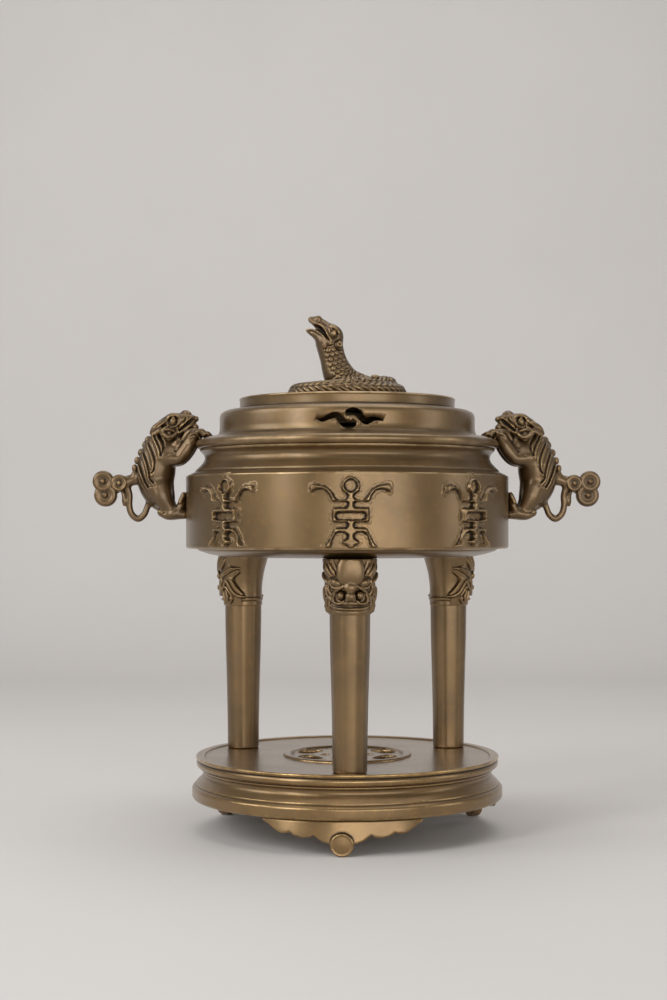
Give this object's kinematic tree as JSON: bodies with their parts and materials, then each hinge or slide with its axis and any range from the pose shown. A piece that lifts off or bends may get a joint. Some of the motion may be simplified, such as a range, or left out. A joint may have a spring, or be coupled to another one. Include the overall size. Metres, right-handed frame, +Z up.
{
  "type": "incense burner",
  "caption": "Cast bronze incense burner: drum bowl on tall legs, beast handles, stepped pierced lid with a snake knob, on a moulded round stand.",
  "frame": {"origin": "on the table, under the middle of the stand", "axes": "+Z up; -Y is the front with the front leg and front foot; the handles lie along X"},
  "size_m": [0.3466, 0.228, 0.3494],
  "materials": {
    "stand_bronze": "satin olive brown patina, rubbed golden on the edges",
    "leg_bronze": "satin olive brown patina, darker in the carving",
    "bowl_bronze": "satin dark olive brown patina, rubbed lighter on raised edges",
    "figure_bronze": "satin dark brown patina, lighter on the high points of the carving"
  },
  "bodies": {
    "root": {"stand": "stand_bronze", "foot_front": "stand_bronze", "foot_right": "stand_bronze", "foot_left": "stand_bronze", "leg_front": "leg_bronze", "leg_right": "leg_bronze", "leg_left": "leg_bronze", "bowl": "bowl_bronze", "handle_left": "figure_bronze", "handle_right": "figure_bronze", "lid": "bowl_bronze", "snake": "figure_bronze"}
  },
  "joints": []
}
